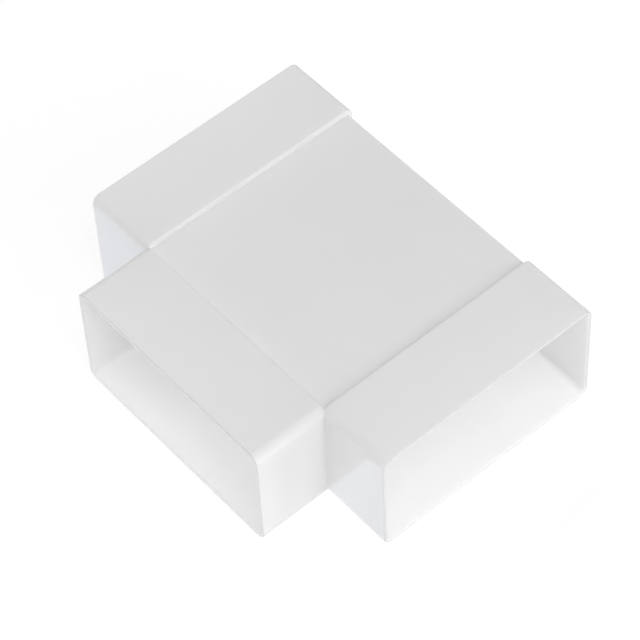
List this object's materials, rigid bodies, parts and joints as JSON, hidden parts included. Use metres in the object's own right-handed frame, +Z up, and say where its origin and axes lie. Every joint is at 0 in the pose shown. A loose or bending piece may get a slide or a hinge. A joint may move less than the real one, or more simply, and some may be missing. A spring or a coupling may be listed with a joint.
{
  "type": "flat duct tee",
  "caption": "Rectangular flat duct tee moulded in one piece: a straight run and a level side branch, each arm ending in a wider socket with a soft shoulder outside and a stop ledge inside.",
  "frame": {"origin": "middle of the box the tee fills, on the floor it lies on; the run and branch axes cross 17.5 mm behind and 29 mm above it", "axes": "+X along the run, -Y out of the branch's mouth, +Z up through the flat side"},
  "size_m": [0.184, 0.149, 0.058],
  "materials": {
    "moulded_plastic": "satin white injection moulding"
  },
  "bodies": {
    "root": {"duct_tee": "moulded_plastic"}
  },
  "joints": []
}
